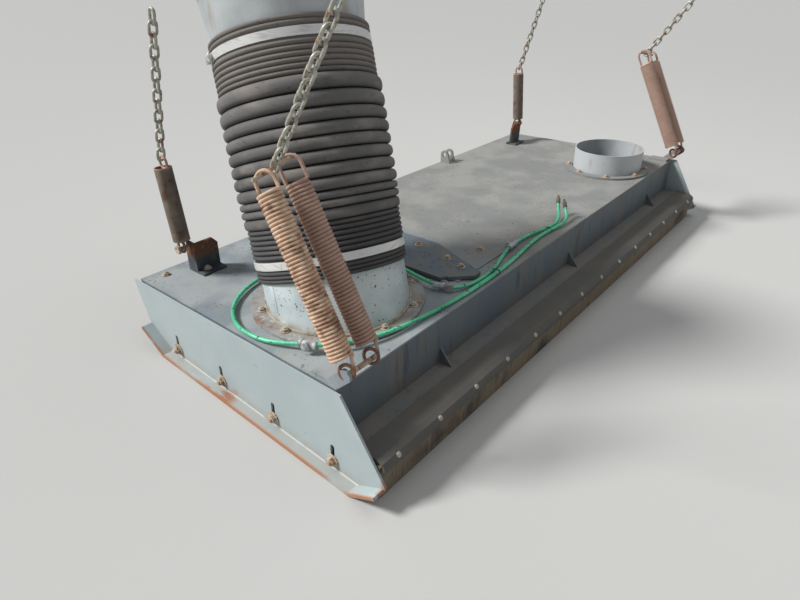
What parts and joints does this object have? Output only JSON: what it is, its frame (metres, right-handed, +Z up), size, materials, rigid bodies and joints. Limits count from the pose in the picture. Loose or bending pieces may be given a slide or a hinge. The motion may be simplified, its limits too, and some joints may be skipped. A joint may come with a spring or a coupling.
{
  "type": "street sweeper pick-up head",
  "caption": "Low sheet-steel suction hood on two skid plates with rubber flaps, a leaning ribbed hose, and springs and chains at its corners.",
  "frame": {"origin": "on the road under the middle of the whole head's box", "axes": "+X towards the truck's left, the end with the suction hose; -Y towards the truck's front; +Z up"},
  "size_m": [2.2, 0.98, 1.0851],
  "materials": {
    "hood_paint": "blue-grey paint, worn and dusty",
    "skid_paint": "blue-grey paint, light, rusty along the foot",
    "flap_rubber": "black rubber under tan dust",
    "hose_rubber": "ribbed black rubber, dusty",
    "clamp_steel": "bright banded steel",
    "duct_paint": "light grey paint",
    "spring_rust": "rusted spring wire",
    "tube_rust": "brown rusted tube",
    "bracket_rust": "rusted plate with paint left low down",
    "chain_zinc": "galvanised, rusting",
    "bolt_steel": "zinc plated, rusting",
    "line_green": "green nylon tube",
    "tee_plastic": "grey-brown moulded tees, dusty"
  },
  "bodies": {
    "head": {"deck": "hood_paint", "rear_wall": "hood_paint", "blast_baffle": "hood_paint", "front_wall": "hood_paint", "rear_flap": "flap_rubber", "rear_strip": "hood_paint", "front_flap": "flap_rubber", "front_strip": "hood_paint", "suction_flange": "hood_paint", "suction_spigot": "duct_paint", "suction_hose": "hose_rubber", "lower_clamp": "clamp_steel", "blast_flange": "hood_paint", "blast_spigot": "duct_paint", "deck_panel": "hood_paint", "deck_rib": "hood_paint", "ledge_gussets": "hood_paint", "line_outer": "line_green", "line_inner": "line_green", "line_tees": "tee_plastic", "end_wall_left": "hood_paint", "skid_plate_left": "skid_paint", "skid_bolts_left": "bolt_steel", "front_bracket_left": "bracket_rust", "front_pin_left": "bolt_steel", "rear_bracket_left": "bracket_rust", "rear_pin_left": "bolt_steel", "drag_clevis_left": "hood_paint", "end_wall_right": "hood_paint", "skid_plate_right": "skid_paint", "skid_bolts_right": "bolt_steel", "front_bracket_right": "bracket_rust", "front_pin_right": "bolt_steel", "rear_bracket_right": "bracket_rust", "rear_pin_right": "bolt_steel", "drag_clevis_right": "hood_paint"},
    "duct": {"suction_duct": "duct_paint", "duct_flange": "duct_paint", "upper_clamp": "clamp_steel"},
    "front_spring_left": {"front_spring_tube_left": "tube_rust", "front_spring_left": "spring_rust"},
    "front_chain_left": {"front_chain_left": "chain_zinc"},
    "rear_springs_left": {"rear_springs_left": "spring_rust", "toggle_bar_left": "bolt_steel"},
    "rear_chain_left": {"rear_chain_left": "chain_zinc"},
    "front_spring_right": {"front_spring_tube_right": "tube_rust", "front_spring_right": "spring_rust"},
    "front_chain_right": {"front_chain_right": "chain_zinc"},
    "rear_springs_right": {"rear_springs_right": "spring_rust", "toggle_bar_right": "bolt_steel"},
    "rear_chain_right": {"rear_chain_right": "chain_zinc"}
  },
  "joints": [
    {"name": "head_lift", "type": "slide", "parent": "head", "child": "duct", "axis": [0, 0, 1], "range_m": [-0.15, 0], "deforming": ["suction_hose"]},
    {"name": "front_spring_swing_left", "type": "hinge", "parent": "head", "child": "front_spring_left", "pos_m": [0.945, -0.398, 0.283], "axis": [1, 0, 0], "range_deg": [-20, 25]},
    {"name": "front_chain_swing_left", "type": "hinge", "parent": "front_spring_left", "child": "front_chain_left", "pos_m": [0.945, -0.4308, 0.52882], "axis": [-1, 0, 0], "range_deg": [-40, 25]},
    {"name": "rear_spring_swing_left", "type": "hinge", "parent": "head", "child": "rear_springs_left", "pos_m": [1.007, 0.367, 0.293], "axis": [1, 0, 0], "range_deg": [-35, 10]},
    {"name": "rear_chain_swing_left", "type": "hinge", "parent": "rear_springs_left", "child": "rear_chain_left", "pos_m": [1.007, 0.13658, 0.66901], "axis": [-1, 0, 0], "range_deg": [-66, 15]},
    {"name": "front_spring_swing_right", "type": "hinge", "parent": "head", "child": "front_spring_right", "pos_m": [-0.945, -0.398, 0.283], "axis": [1, 0, 0], "range_deg": [-20, 25]},
    {"name": "front_chain_swing_right", "type": "hinge", "parent": "front_spring_right", "child": "front_chain_right", "pos_m": [-0.945, -0.4308, 0.52882], "axis": [-1, 0, 0], "range_deg": [-40, 25]},
    {"name": "rear_spring_swing_right", "type": "hinge", "parent": "head", "child": "rear_springs_right", "pos_m": [-1.007, 0.367, 0.293], "axis": [1, 0, 0], "range_deg": [-35, 10]},
    {"name": "rear_chain_swing_right", "type": "hinge", "parent": "rear_springs_right", "child": "rear_chain_right", "pos_m": [-1.007, 0.13658, 0.66901], "axis": [-1, 0, 0], "range_deg": [-66, 15]}
  ]
}
